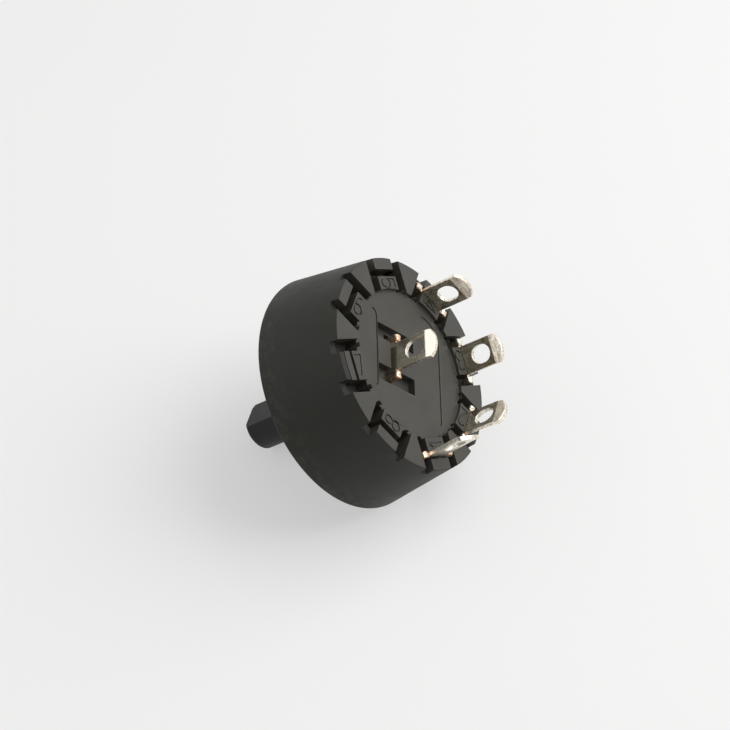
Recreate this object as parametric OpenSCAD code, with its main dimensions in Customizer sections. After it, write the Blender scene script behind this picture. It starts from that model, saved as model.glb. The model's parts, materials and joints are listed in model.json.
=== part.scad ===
// Eight-station rotary switch with a D-shaft and solder lugs.
// The axis lies along Y: the shaft points to -Y (front), the lugs to +Y (back), +Z is up.
// The origin is the centre of the front mounting face.

/* [Body] */
// Diameter of the body at its front face
front_d = 30.8; // [28:0.1:40]
// Diameter of the body at the back rim
back_d = 27.8; // [27:0.1:36]
// Depth from the front face to the station pads
body_depth = 11.7; // [11:0.1:16]
// Wall of the front face
front_wall = 1.8; // [1.5:0.1:3]
// Wall of the side at the front
side_wall = 2.1; // [1.2:0.1:2.2]
// Radius of the rounded front edge
front_edge_r = 0.3; // [0.2:0.1:1]

/* [Back plate] */
// Thickness of the flange that covers the rim
flange_t = 1.2; // [1:0.1:1.6]
// Thickness of the part that sits inside the rim
plug_t = 2.0; // [1.8:0.1:2.6]
// Wall of the rim around the plug
rim_wall = 1.05; // [0.9:0.05:1.3]
// Gap between the plug and the rim
plug_gap = 0.15; // [0.1:0.05:0.3]
// Depth of the round recess in the middle
recess_depth = 0.55; // [0.3:0.05:0.8]
// Width of the ring of pads between the recess and the rim
pad_ring_w = 4.1; // [3.6:0.1:5]

/* [Stations] */
// Half width of the number pads
pad_half_w = 1.82; // [1.6:0.02:2]
// Width of the side slots
side_slot_w = 1.53; // [1.3:0.01:1.6]
// Depth of the side slots below the pads
side_slot_depth = 2.4; // [2:0.1:2.6]
// Distance of the cross slot's inner wall from the back rim
cross_slot_in = 2.47; // [2.2:0.01:2.6]
// Width of the cross slots
cross_slot_w = 0.95; // [0.9:0.01:1.1]
// Reach of the side slots into the round recess
slot_reach = 0.08; // [0.05:0.01:0.3]
// Height of the V tooth at the slots' inner ends
slot_tooth = 0.22; // [0.1:0.01:0.3]
// Height of the engraved numbers
digit_h = 2.6; // [2:0.1:2.8]
// Width of the engraved numbers
digit_w = 1.3; // [0.8:0.05:1.4]
// Line width of the engraving
engrave_w = 0.21; // [0.12:0.01:0.24]
// Depth of the engraving
engrave_depth = 0.18; // [0.1:0.01:0.2]

/* [Terminals] */
// Thickness of the terminal strip
strip_t = 0.55; // [0.4:0.05:0.7]
// Width of the solder lugs
lug_w = 3.8; // [3.4:0.1:4]
// Height of the lugs above the pads
lug_h = 5.75; // [5.5:0.05:8]
// Width of the oval wire hole
wire_hole_w = 2.36; // [2:0.02:2.8]
// Length of the oval wire hole
wire_hole_l = 2.8; // [2.1:0.02:3.2]
// Height of the wire hole's middle above the pads
wire_hole_h = 2.7; // [2:0.05:3]
// Height above the pads where the lug bends
fold_h = 4.35; // [4:0.05:5.5]
// Angle of the bent tip
fold_angle = 14; // [0:1:25]
// Lean of lug 1 towards the shaft axis
lug_1_lean = 6; // [0:1:8]
// Height of the rounded end of the lug
lug_crown = 0.65; // [0.4:0.05:1.4]
// Reach of each shoulder beside the lug
shoulder_w = 1.15; // [0.6:0.05:1.35]
// Top of the shoulders below the pads
shoulder_drop = 0.2; // [0:0.05:0.6]
// Distance of the middle lug's inner face from the shaft axis
common_face = 2.75; // [2.6:0.05:2.9]
// Radius of the circle of fixed contacts
contact_ring_r = 8.6; // [8.4:0.1:9]

/* [Rotor] */
// Diameter of the shaft
shaft_d = 6.0; // [5:0.1:6.4]
// Length of the shaft in front of the body
shaft_len = 14.5; // [10:0.1:30]
// Distance of the flat from the shaft axis
flat_dist = 2.2; // [2:0.05:2.4]
// Length of the flat
flat_len = 7.0; // [5:0.5:10]
// Chamfer at the shaft tip
tip_chamfer = 0.35; // [0:0.05:0.8]
// Radius of the journal in the front bore
journal_r = 4.0; // [3.8:0.1:4.4]
// Running gap around the journal
journal_gap = 0.05; // [0.03:0.01:0.08]
// Radius of the hub
hub_r = 7.4; // [7:0.1:7.5]

/* [Detent] */
// Radius of the balls
ball_r = 1.4; // [1.2:0.05:1.4]
// Running gap around each ball
ball_gap = 0.05; // [0.03:0.01:0.08]
// Radius of the ridges between the notches
ridge_r = 8.0; // [7.9:0.1:8.3]
// Travel of a ball into a notch
ball_travel = 0.5; // [0.3:0.05:0.6]
// Gap between a ball and the ridges
ridge_gap = 0.15; // [0.1:0.05:0.2]
// Wall of the notched ring
ring_wall = 1.7; // [1.4:0.1:2]

/* [Contact arm] */
// Thickness of the arm
arm_t = 0.5; // [0.4:0.05:0.6]
// Half width of the arm's outer part
arm_half_w = 1.45; // [1.2:0.05:1.6]
// Half width of the arm's inner part
arm_root_half_w = 2.2; // [1.9:0.05:2.4]
// Height of the rivet heads on the arm
tip_head_h = 0.35; // [0.25:0.05:0.45]
// Height of the rivet heads on the terminals
rivet_head_h = 0.45; // [0.3:0.05:0.5]
// Gap left between the contacts
contact_gap = 0.15; // [0.1:0.05:0.2]

/* [Mounting] */
// Distance between the two screw holes
screw_pitch = 22.0; // [21:0.5:22]
// Radius of the screw holes
screw_hole_r = 1.25; // [1:0.05:1.5]
// Depth of the screw holes
screw_hole_depth = 4.6; // [3.5:0.1:4.6]
// Radius of the screw bosses
screw_boss_r = 2.7; // [2.4:0.1:3]

/* [Hidden] */
$fn = 96;
tiny = 0.01;
stations = 8;
step_angle = 360 / stations;
// Station 6 is at the top; the numbers run counter-clockwise as seen from the back.
top_station = 6;
key_station = 7;
front_r = front_d / 2;
back_r = back_d / 2;
draft = (front_r - back_r) / body_depth;
rim_y = body_depth - flange_t;
base_y = rim_y - plug_t;
disc_y = body_depth - recess_depth;
plug_r = outer_r(rim_y) - rim_wall - plug_gap;
ring_in = back_r - pad_ring_w;
slot_out = pad_half_w + side_slot_w;
cross_in = back_r - cross_slot_in;
slot_floor = body_depth - side_slot_depth;
rim_inner_r = plug_r + plug_gap;
seat_r = plug_r - 0.25;
edge_chamfer = 0.06;
// The tongue on the rim that fits a notch in the plate at the key station
key_gap = 0.15;
key_slot_w = 0.5;
key_in = rim_inner_r + 0.1;
key_side_gap = 0.1;
strip_gap = 0.05;
// Pocket in the middle of the plate, turned by half a step
pocket_angle = (2.5 - top_station) * step_angle;
pocket_depth = 1.1;
pocket_from = -5.65;
pocket_to = 1.1;
pocket_upper = 3.8;
pocket_lower = -4.0;
common_slot_from = -common_face - 0.55;
common_slot_to = -common_face + strip_t + strip_gap;
// Two lines across the plate: their place, their ends and the rounding of those ends
left_line = [-5.85, 4.6, -4.6, 0.8, 0.5];
right_line = [6.1, 4.7, -6.0, 3.2, 0.5];
// Terminals
lug_top = body_depth + lug_h;
lug_half_w = lug_w / 2;
fold_y = body_depth + fold_h;
crown_r = (lug_half_w * lug_half_w + lug_crown * lug_crown) / (2 * lug_crown);
neck_half_w = lug_half_w - 0.1;
foot_half_w = 1.5;
foot_y = base_y - strip_t;
foot_margin = 1.2;
strip_r = cross_in + strip_gap;
wire_hole_r = wire_hole_w / 2;
wire_hole_reach = (wire_hole_l - wire_hole_w) / 2;
shoulder_top = body_depth - shoulder_drop;
rivet_head_r = 1.1;
rivet_shank_r = 0.6;
rivet_hole_r = rivet_shank_r + 0.02;
dome_chamfer = 0.2;
// Contact arm
contact_y = foot_y - rivet_head_h;
arm_back_y = contact_y - contact_gap - tip_head_h;
arm_y = arm_back_y - arm_t;
arm_angle = 90;
tip_head_r = 0.9;
arm_travel = 0.4;
// The ring that drives the arm stays clear of the terminals' feet
carrier_out = contact_ring_r - foot_margin - 1.0;
carrier_in = carrier_out - 1.8;
arm_shoulder_x = carrier_in - 0.95;
arm_tail_x = 1 - carrier_in;
arm_side_gap = 0.1;
// Rotor and detent
hub_y = front_wall + 0.15;
hub_back_y = arm_y - arm_travel - 0.15;
ball_y = (hub_y + hub_back_y) / 2;
ball_rest_r = ridge_r - ridge_gap - ball_r;
ball_seat_r = ball_rest_r + ball_travel;
notch_r = ball_r + 0.15;
ball_bore_r = ball_r + ball_gap;
ball_bore_from = 1.6;
spring_clear = 0.05;
ring_back_y = hub_back_y - 0.25;
journal_out = 0.6;
carrier_back_y = base_y - 0.15;
spring_x = carrier_in - 0.3;
spring_pocket_r = 1.35;
spring_pocket_y = ball_y - 0.5;
detent_wire_r = 0.18;
detent_coil_r = 1.0;
wiper_wire_r = 0.15;
wiper_coil_r = 0.9;
coil_sides = 8;
coil_steps = 20;

// Outer radius of the drafted side wall at a height y
function outer_r(y) = front_r - draft * y;
// Direction of a station around the axis, from +Z towards +X
function station_angle(n) = (n - top_station) * step_angle;
// Points on an elliptical arc
function arc_points(c, rx, ry, from, to, n) =
    [for (i = [0:n]) let (a = from + (to - from) * i / n) [c[0] + rx * cos(a), c[1] + ry * sin(a)]];
// Unit vector square to a path at point i
function path_normal(p, i) =
    let (a = p[max(i - 1, 0)], b = p[min(i + 1, len(p) - 1)], d = b - a)
    [-d[1], d[0]] / norm(d);
// Outline of a ribbon of width w along a path
function ribbon(p, w) = concat(
    [for (i = [0:len(p) - 1]) p[i] + path_normal(p, i) * w / 2],
    [for (i = [len(p) - 1:-1:0]) p[i] - path_normal(p, i) * w / 2]);

// A 2D shape in [x, z] made a slab that ends at y_back and is h thick
module slab(y_back, h) {
    translate([0, y_back, 0]) rotate([90, 0, 0]) linear_extrude(height = h) children();
}
// A 2D shape in [y, z] made a bar of width w centred on x
module side_bar(w) {
    translate([-w / 2, 0, 0]) rotate([90, 0, 90]) linear_extrude(height = w) children();
}
// A 2D profile in [radius, y] turned about the switch axis
module turned() {
    rotate([-90, 0, 0]) rotate_extrude() children();
}
// A cylinder along Y from y0 to y1
module rod(r, y0, y1) {
    translate([0, y0, 0]) rotate([-90, 0, 0]) cylinder(r = r, h = y1 - y0);
}
module at_station(n) {
    rotate([0, station_angle(n), 0]) children();
}
// A coil of round wire along +Z that stands on z = 0
module coil(coil_r, wire_r, length, turns) {
    n = turns * coil_steps;
    pitch = (length - 2 * wire_r) / n;
    rings = [for (i = [0:n]) for (j = [0:coil_sides - 1])
        let (a = 360 * i / coil_steps, b = 360 * j / coil_sides, r = coil_r + wire_r * cos(b))
        [r * cos(a), r * sin(a), wire_r + pitch * i + wire_r * sin(b)]];
    walls = [for (i = [0:n - 1]) for (j = [0:coil_sides - 1])
        let (k = (j + 1) % coil_sides, a = i * coil_sides, b = a + coil_sides)
        each [[a + j, b + j, b + k], [a + j, b + k, a + k]]];
    first = [for (j = [0:coil_sides - 1]) j];
    last = [for (j = [coil_sides - 1:-1:0]) n * coil_sides + j];
    polyhedron(points = rings, faces = concat(walls, [first, last]));
}

// Housing
module housing_shell() {
    edge = arc_points([front_r - front_edge_r, front_edge_r], front_edge_r, front_edge_r, -90, 0, 6);
    turned() polygon(concat(
        [[journal_r + journal_gap, 0]],
        edge,
        [[outer_r(rim_y), rim_y], [rim_inner_r, rim_y], [rim_inner_r, base_y], [seat_r, base_y],
         [front_r - side_wall, front_wall], [journal_r + journal_gap, front_wall]]));
}
module notched_ring() {
    difference() {
        turned() polygon([[ridge_r, front_wall - tiny], [ridge_r + ring_wall, front_wall - tiny],
            [ridge_r + ring_wall, ring_back_y], [ridge_r, ring_back_y]]);
        for (i = [0:stations - 1])
            rotate([0, i * step_angle, 0]) translate([0, 0, ball_seat_r])
                rod(notch_r, front_wall, ring_back_y + tiny);
    }
}
module key_tongue() {
    half = pad_half_w - key_side_gap;
    intersection() {
        turned() polygon([[key_in, rim_y - tiny], [outer_r(rim_y - tiny), rim_y - tiny],
            [outer_r(body_depth - edge_chamfer), body_depth - edge_chamfer],
            [back_r - edge_chamfer, body_depth], [key_in, body_depth]]);
        at_station(key_station) translate([-half, rim_y - 1, ring_in])
            cube([2 * half, flange_t + 2, front_r]);
    }
}
module housing() {
    color([0.13, 0.13, 0.12]) difference() {
        union() {
            housing_shell();
            notched_ring();
            for (s = [-1, 1])
                translate([s * screw_pitch / 2, 0, 0]) difference() {
                    rod(screw_boss_r, front_wall - tiny, ring_back_y);
                    translate([-s * screw_pitch / 2, 0, 0]) rod(ridge_r + ring_wall / 2, 0, ring_back_y + 1);
                }
            key_tongue();
        }
        for (s = [-1, 1])
            translate([s * screw_pitch / 2, 0, 0]) rod(screw_hole_r, -1, screw_hole_depth);
    }
}

// Back plate
module plate_body() {
    turned() polygon([[0, base_y], [plug_r, base_y], [plug_r, rim_y], [outer_r(rim_y), rim_y],
        [outer_r(body_depth - edge_chamfer), body_depth - edge_chamfer],
        [back_r - edge_chamfer, body_depth], [ring_in, body_depth], [ring_in, disc_y], [0, disc_y]]);
}
// Side slot at one side of a station, with a V tooth at its inner end
module side_slot(side) {
    mid = (pad_half_w + slot_out) / 2;
    wedge_end = sqrt(ring_in * ring_in - slot_out * slot_out) - slot_reach;
    pad_end = sqrt(ring_in * ring_in - pad_half_w * pad_half_w) - slot_reach;
    slab(body_depth + 1, side_slot_depth + 1)
        polygon([[side * pad_half_w, pad_end - slot_tooth / 2],
            [side * mid, (wedge_end + pad_end) / 2 + slot_tooth],
            [side * slot_out, wedge_end], [side * slot_out, front_r + 1],
            [side * pad_half_w, front_r + 1]]);
}
// Cross slot, with the narrower opening below it that the strip passes through
module cross_slot(w) {
    slab(body_depth + 1, side_slot_depth + 1)
        translate([-pad_half_w - tiny, cross_in]) square([2 * (pad_half_w + tiny), w]);
}
module strip_opening(half_w, from, to) {
    slab(slot_floor + tiny, slot_floor - base_y + 1)
        translate([-half_w, from]) square([2 * half_w, to - from]);
}
module station_cut(n) {
    at_station(n) {
        for (s = [-1, 1]) side_slot(s);
        cross_slot(n == key_station ? key_slot_w : cross_slot_w);
        strip_opening(neck_half_w + strip_gap, cross_in, strip_r + strip_t + strip_gap);
        if (n == key_station)
            intersection() {
                turned() polygon([[key_in - key_gap, rim_y], [front_r + 1, rim_y],
                    [front_r + 1, body_depth + 1], [key_in - key_gap, body_depth + 1]]);
                translate([-pad_half_w - tiny, rim_y - 1, ring_in])
                    cube([2 * (pad_half_w + tiny), flange_t + 3, front_r]);
            }
    }
}
// H-shaped pocket around the middle lug; its local Z is the direction away from station 6.5
module common_pocket() {
    rotate([0, pocket_angle, 0]) {
        for (side = [[pocket_lower, -pad_half_w], [pad_half_w, pocket_upper]])
            slab(disc_y + 1, pocket_depth + 1)
                translate([side[0], pocket_from]) square([side[1] - side[0], pocket_to - pocket_from]);
        for (s = [-1, 1])
            slab(disc_y, disc_y - slot_floor)
                translate([s > 0 ? pad_half_w - tiny : -slot_out, common_slot_from])
                    square([side_slot_w + tiny, common_slot_to - common_slot_from]);
        slab(disc_y + 1, disc_y - slot_floor + 1)
            translate([-pad_half_w - tiny, common_slot_from])
                square([2 * (pad_half_w + tiny), common_slot_to - common_slot_from]);
        strip_opening(neck_half_w + strip_gap, -common_face - strip_gap, common_slot_to);
    }
}
// Digits 1 to 8 are drawn in a box of 1 by 1: straight strokes and elliptical bows
function digit_strokes(n) =
    n == 1 ? [[[-0.3, 0.24], [0.14, 0.5]], [[0.14, 0.5], [0.14, -0.5]]] :
    n == 2 ? [[[0.36, 0.06], [-0.46, -0.5]], [[-0.46, -0.5], [0.5, -0.5]]] :
    n == 4 ? [[[0.2, -0.5], [0.2, 0.5]], [[0.2, 0.5], [-0.5, -0.2]], [[-0.5, -0.2], [0.5, -0.2]]] :
    n == 5 ? [[[0.45, 0.5], [-0.38, 0.5]], [[-0.38, 0.5], [-0.44, 0.08]]] :
    n == 7 ? [[[-0.5, 0.5], [0.48, 0.5]], [[0.48, 0.5], [-0.12, -0.5]]] : [];
function digit_bows(n) =
    n == 2 ? [[[0, 0.25], 0.45, 0.25, 165, -50]] :
    n == 3 ? [[[0, 0.25], 0.42, 0.25, 150, -90], [[0, -0.25], 0.48, 0.25, 90, -150]] :
    n == 5 ? [[[0, -0.18], 0.48, 0.32, 155, -145]] :
    n == 6 ? [[[0.05, 0], 0.53, 0.5, 75, 185],
        [[0, -0.22], 0.48, 0.28, 0, 190], [[0, -0.22], 0.48, 0.28, 180, 370]] :
    n == 8 ? [[[0, 0.25], 0.4, 0.25, 0, 190], [[0, 0.25], 0.4, 0.25, 180, 370],
        [[0, -0.25], 0.48, 0.25, 0, 190], [[0, -0.25], 0.48, 0.25, 180, 370]] : [];
module engraved(path) {
    slab(body_depth + 1, engrave_depth + 1) polygon(ribbon(path, engrave_w));
}
module digit(n) {
    // The number stands on its side: its top points clockwise and it reads towards the middle.
    middle = (ring_in + cross_in) / 2 - 0.05;
    function place(p) = [-p[1] * digit_h, middle - p[0] * digit_w];
    at_station(n) {
        for (s = digit_strokes(n)) engraved([place(s[0]), place(s[1])]);
        for (b = digit_bows(n))
            engraved([for (p = arc_points(b[0], b[1], b[2], b[3], b[4], 16)) place(p)]);
    }
}
// Shallow line across the plate at the height line[0], its ends turned to the left
module field_line(line) {
    z = line[0];
    high_end = arc_points([line[1], z - line[3]], line[3], line[3], 0, 90, 8);
    low_end = arc_points([line[2], z - line[4]], line[4], line[4], 90, 170, 6);
    rotate([0, pocket_angle, 0]) slab(disc_y + 1, engrave_depth + 1)
        polygon(ribbon(concat(high_end, low_end), engrave_w));
}
module base() {
    color([0.37, 0.37, 0.35]) difference() {
        plate_body();
        for (n = [1:stations]) station_cut(n);
        common_pocket();
        for (n = [1:stations]) digit(n);
        field_line(left_line);
        field_line(right_line);
    }
}

// Terminals: a strip with its foot under the plate and its lug above it.
// A point in [y, z] leant by an angle towards -Z about the point q
function leant(p, q, angle) =
    let (d = p - q) q + [cos(angle) * d[0] + sin(angle) * d[1], cos(angle) * d[1] - sin(angle) * d[0]];
// Side view in [y, z]: the foot runs from the lug to foot_end, and the lug's tip bends towards +Z.
module strip_side(inner, foot_end, lean_angle) {
    outer = inner + strip_t;
    inward = foot_end < inner;
    tip = lug_top - fold_y + 1;
    lean = [cos(fold_angle), sin(fold_angle)];
    across = [-sin(fold_angle), cos(fold_angle)];
    pivot = [fold_y, outer];
    foot_bend = [for (i = [0:4]) let (a = 90 * (inward ? i : 4 - i) / 4)
        [foot_y + strip_t * (1 - sin(a)),
        inward ? outer - strip_t * (1 - cos(a)) : inner + strip_t * (1 - cos(a))]];
    lug_bend = [for (i = [0:4]) let (a = fold_angle * i / 4) pivot + strip_t * [sin(a), -cos(a)]];
    lug_end = [pivot + tip * lean - strip_t * across, pivot + tip * lean, pivot];
    root = [shoulder_top, inner];
    lug = [for (p = concat([root], lug_bend, lug_end, [[shoulder_top, outer]])) leant(p, root, lean_angle)];
    polygon(inward ?
        concat([[foot_y, foot_end], [base_y, foot_end], [base_y, inner]], lug, foot_bend) :
        concat(foot_bend, lug, [[base_y, outer], [base_y, foot_end], [foot_y, foot_end]]));
}
// The strip's face in [x, y], from the foot to the rounded tip
module strip_outline() {
    from = slot_floor + strip_gap;
    shoulder_half_w = lug_half_w + shoulder_w;
    translate([-foot_half_w, foot_y - 1]) square([2 * foot_half_w, strip_t + 1 + tiny]);
    translate([-neck_half_w, base_y]) square([2 * neck_half_w, from - base_y + tiny]);
    translate([-shoulder_half_w, from]) square([2 * shoulder_half_w, shoulder_top - from]);
    translate([-lug_half_w, from]) square([lug_w, lug_top - lug_crown - from - tiny]);
    intersection() {
        translate([-lug_half_w, from]) square([lug_w, lug_top - slot_floor]);
        translate([0, lug_top - crown_r]) circle(r = crown_r);
    }
}
module wire_hole(inner) {
    for (s = [-1, 1])
        translate([0, body_depth + wire_hole_h + s * wire_hole_reach, inner - 1])
            cylinder(r = wire_hole_r, h = strip_t + 2);
    translate([-wire_hole_r, body_depth + wire_hole_h - wire_hole_reach, inner - 1])
        cube([wire_hole_w, 2 * wire_hole_reach, strip_t + 2]);
}
module terminal(inner, foot_end, rivet_z, lean_angle) {
    color([0.72, 0.69, 0.6]) difference() {
        intersection() {
            side_bar(2 * (lug_half_w + shoulder_w) + 1) strip_side(inner, foot_end, lean_angle);
            translate([0, 0, min(inner, foot_end) - 2])
                linear_extrude(height = abs(inner - foot_end) + 7) strip_outline();
        }
        wire_hole(inner);
        translate([0, 0, rivet_z]) rod(rivet_hole_r, foot_y - 1, base_y + 0.5);
    }
}
module station_terminal(n) {
    at_station(n)
        terminal(strip_r, contact_ring_r - foot_margin, contact_ring_r, n == 1 ? lug_1_lean : 0);
}
module terminal_common() {
    rotate([0, pocket_angle, 0]) terminal(-common_face, foot_margin, 0, 0);
}
// A rivet with its head towards the front and its shank through the foot
module rivet() {
    color([0.85, 0.85, 0.82]) turned() polygon([[0, contact_y], [rivet_head_r - dome_chamfer, contact_y],
        [rivet_head_r, contact_y + dome_chamfer], [rivet_head_r, foot_y], [rivet_shank_r, foot_y],
        [rivet_shank_r, base_y - tiny], [0, base_y - tiny]]);
}
module station_rivet(n) {
    at_station(n) translate([0, 0, contact_ring_r]) rivet();
}
module contact_rivet_common() {
    rivet();
}

// Rotor
module d_shaft() {
    difference() {
        turned() polygon([[0, -shaft_len], [shaft_d / 2 - tip_chamfer, -shaft_len],
            [shaft_d / 2, tip_chamfer - shaft_len], [shaft_d / 2, 0], [0, 0]]);
        translate([-shaft_d, -shaft_len - 1, flat_dist]) cube([2 * shaft_d, flat_len + 1, shaft_d]);
    }
}
module rotor() {
    color([0.1, 0.1, 0.1]) difference() {
        union() {
            d_shaft();
            turned() polygon([[0, -journal_out], [journal_r - 0.2, -journal_out],
                [journal_r, 0.2 - journal_out], [journal_r, hub_y], [hub_r, hub_y],
                [hub_r, hub_back_y], [carrier_out, hub_back_y], [carrier_out, carrier_back_y],
                [carrier_in, carrier_back_y], [carrier_in, hub_back_y], [0, hub_back_y]]);
        }
        for (s = [-1, 1])
            translate([0, ball_y, s * ball_bore_from]) rotate([s > 0 ? 0 : 180, 0, 0])
                cylinder(r = ball_bore_r, h = hub_r);
        rotate([0, arm_angle, 0]) {
            slab(carrier_back_y + 1, carrier_back_y - hub_back_y + 1)
                translate([-arm_half_w - arm_side_gap, 0])
                    square([2 * (arm_half_w + arm_side_gap), hub_r]);
            translate([0, 0, spring_x]) rod(spring_pocket_r, spring_pocket_y, hub_back_y + 1);
        }
    }
}

// Detent
module detent_ball(side) {
    color([0.8, 0.8, 0.8]) translate([0, ball_y, side * ball_rest_r]) sphere(r = ball_r);
}
module detent_spring(side) {
    reach = ball_r + detent_wire_r + spring_clear;
    top = ball_rest_r - sqrt(reach * reach - detent_coil_r * detent_coil_r) + detent_wire_r;
    length = top - ball_bore_from - spring_clear;
    color([0.6, 0.6, 0.6]) translate([0, ball_y, side * (ball_bore_from + spring_clear)])
        rotate([side > 0 ? 0 : 180, 0, 0]) coil(detent_coil_r, detent_wire_r, length, 4);
}

// Contact arm, along local Z before it is turned to its station
module wiper() {
    color([0.75, 0.5, 0.3]) rotate([0, arm_angle, 0]) difference() {
        slab(arm_back_y, arm_t) union() {
            translate([-arm_root_half_w, arm_tail_x])
                square([2 * arm_root_half_w, arm_shoulder_x - arm_tail_x]);
            translate([-arm_half_w, 0]) square([2 * arm_half_w, contact_ring_r]);
            translate([0, contact_ring_r]) circle(r = arm_half_w);
        }
        for (z = [0, contact_ring_r])
            translate([0, 0, z]) rod(rivet_hole_r, arm_y - 1, arm_back_y + 1);
    }
}
module wiper_tip(z) {
    top = contact_y - contact_gap;
    color([0.85, 0.85, 0.82]) rotate([0, arm_angle, 0]) translate([0, 0, z])
        turned() polygon([[0, arm_y], [rivet_shank_r, arm_y], [rivet_shank_r, arm_back_y],
            [tip_head_r, arm_back_y], [tip_head_r, top - dome_chamfer],
            [tip_head_r - dome_chamfer, top], [0, top]]);
}
module wiper_spring() {
    length = arm_y - spring_pocket_y - 2 * spring_clear;
    color([0.6, 0.6, 0.6]) rotate([0, arm_angle, 0])
        translate([0, spring_pocket_y + spring_clear, spring_x]) rotate([-90, 0, 0])
            coil(wiper_coil_r, wiper_wire_r, length, 4);
}

housing();
base();
rotor();
detent_ball(1);  // detent_ball_upper
detent_ball(-1);  // detent_ball_lower
detent_spring(1);  // detent_spring_upper
detent_spring(-1);  // detent_spring_lower
wiper();
wiper_spring();
wiper_tip(0);  // wiper_tip_inner
wiper_tip(contact_ring_r);  // wiper_tip_outer
terminal_common();
station_terminal(1);  // terminal_1
station_terminal(2);  // terminal_2
station_terminal(3);  // terminal_3
station_terminal(4);  // terminal_4
contact_rivet_common();
station_rivet(1);  // contact_rivet_1
station_rivet(2);  // contact_rivet_2
station_rivet(3);  // contact_rivet_3
station_rivet(4);  // contact_rivet_4
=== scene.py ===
import json
import math
from collections import namedtuple

import bmesh
import bpy
import numpy as np
from bpy.props import FloatProperty, FloatVectorProperty, PointerProperty
from mathutils import Matrix, Vector


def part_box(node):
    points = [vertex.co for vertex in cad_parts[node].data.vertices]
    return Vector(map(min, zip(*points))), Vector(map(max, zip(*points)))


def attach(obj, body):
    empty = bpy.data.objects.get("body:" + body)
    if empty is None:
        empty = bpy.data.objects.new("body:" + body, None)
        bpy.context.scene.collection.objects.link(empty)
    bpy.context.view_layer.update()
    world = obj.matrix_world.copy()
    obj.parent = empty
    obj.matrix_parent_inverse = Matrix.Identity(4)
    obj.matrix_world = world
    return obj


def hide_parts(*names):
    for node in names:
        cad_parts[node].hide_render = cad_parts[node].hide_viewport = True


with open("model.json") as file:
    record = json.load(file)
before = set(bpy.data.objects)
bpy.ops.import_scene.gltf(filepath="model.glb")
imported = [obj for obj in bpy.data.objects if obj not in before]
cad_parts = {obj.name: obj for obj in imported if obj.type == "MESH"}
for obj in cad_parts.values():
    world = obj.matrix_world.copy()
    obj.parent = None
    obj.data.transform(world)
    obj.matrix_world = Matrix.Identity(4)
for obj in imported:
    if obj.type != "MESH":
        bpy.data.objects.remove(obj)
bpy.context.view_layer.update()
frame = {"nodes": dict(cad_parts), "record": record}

bl_info = {
    "name": "Rotary switch finish",
    "version": (1, 0, 0),
    "blender": (4, 5, 0),
    "location": "View3D > Sidebar > Switch",
    "description": "Finishes a packed rotary switch: moulded plastic, plated lugs, steel and silver parts",
    "category": "Object",
}

STATION_STEP = math.radians(45)
TOP_STATION = 6
LUG_STATIONS = {"terminal_1": 1, "terminal_2": 2, "terminal_3": 3, "terminal_4": 4, "terminal_common": 2.5}

# Levels along the switch axis, in metres
PAD_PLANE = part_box("base")[1].y
RECESS_PLANE = PAD_PLANE - 0.00055
SEAM_PLANE = PAD_PLANE - 0.0012
EAR_TOP = PAD_PLANE - 0.0002
HOLE_LEVEL = PAD_PLANE + 0.0027
FOLD_Y = PAD_PLANE + 0.00435

# The plastic parts: lengths in metres, and the most that a flat of a round wall turns from the true cone
ENGRAVE_DEPTH = 0.00018
BACK_RADIUS = 0.0139
SMALLEST_WALL_RADIUS = 0.0025
FACET_TURN = math.radians(4)

# The lugs, in metres: where ears and holes are found, an ear block's half sizes (outward, beside, up), how
# far its middle is in from the ear's end and under EAR_TOP; and the power that makes it blocky
EAR_BESIDE = 0.0028
HOLE_REACH = 0.0014
HOLE_RISE = 0.0016
EAR_HALVES = (0.00045, 0.00052, 0.00060)
EAR_INSET = 0.00048
EAR_DROP = 0.0003
EAR_POWER = 0.45

# Material slots of the plastic pieces, then of the lugs, which have the first two as well
FACE_SLOT, EDGE_SLOT, SHADED_RIM_SLOT = 0, 1, 2
SIDE_SLOT, EAR_SLOT, HOLE_SLOT = 2, 3, 4

# The floor, in metres: its rings, and from where to where it fades to plain white
FLOOR_SIDES = 48
FLOOR_RADII = (0.1, 0.4, 1.2)
WHITENING = (0.1, 0.22)

# A lug's shares of stain, lighter tip (cleaner tin and a painted highlight), tip waves, and bare metal on its
# sides and on its ears; how metallic
Wear = namedtuple("Wear", "stain tip waves bare_side bare_ear metallic")


# Node building

def add_node(tree, kind, inputs=None, **settings):
    """Adds a node, sets its own settings, and sets its inputs or links them where a socket is given."""
    node = tree.nodes.new(kind)
    for name, value in settings.items():
        setattr(node, name, value)
    for key, value in (inputs or {}).items():
        if isinstance(value, bpy.types.NodeSocket):
            tree.links.new(value, node.inputs[key])
        else:
            node.inputs[key].default_value = value
    return node


def node_of_kind(tree, kind):
    """The node of a kind that a new material or world already has."""
    return next(node for node in tree.nodes if node.type == kind)


def math_node(tree, operation, a, b=0.0, c=0.0):
    return add_node(tree, "ShaderNodeMath", {0: a, 1: b, 2: c}, operation=operation).outputs[0]


def multiply(tree, *values):
    result = values[0]
    for value in values[1:]:
        result = math_node(tree, "MULTIPLY", result, value)
    return result


def scaled(tree, value, gain, offset):
    return math_node(tree, "MULTIPLY_ADD", value, gain, offset)


def mix_colour(tree, factor, a, b, blend_type="MIX"):
    node = add_node(tree, "ShaderNodeMix", {0: factor, 6: a, 7: b}, data_type="RGBA", blend_type=blend_type)
    return node.outputs[2]


def mix_number(tree, factor, a, b):
    return add_node(tree, "ShaderNodeMix", {0: factor, 2: a, 3: b}, data_type="FLOAT").outputs[0]


def mix_shader(tree, factor, a, b):
    return add_node(tree, "ShaderNodeMixShader", {0: factor, 1: a, 2: b}).outputs[0]


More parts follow.
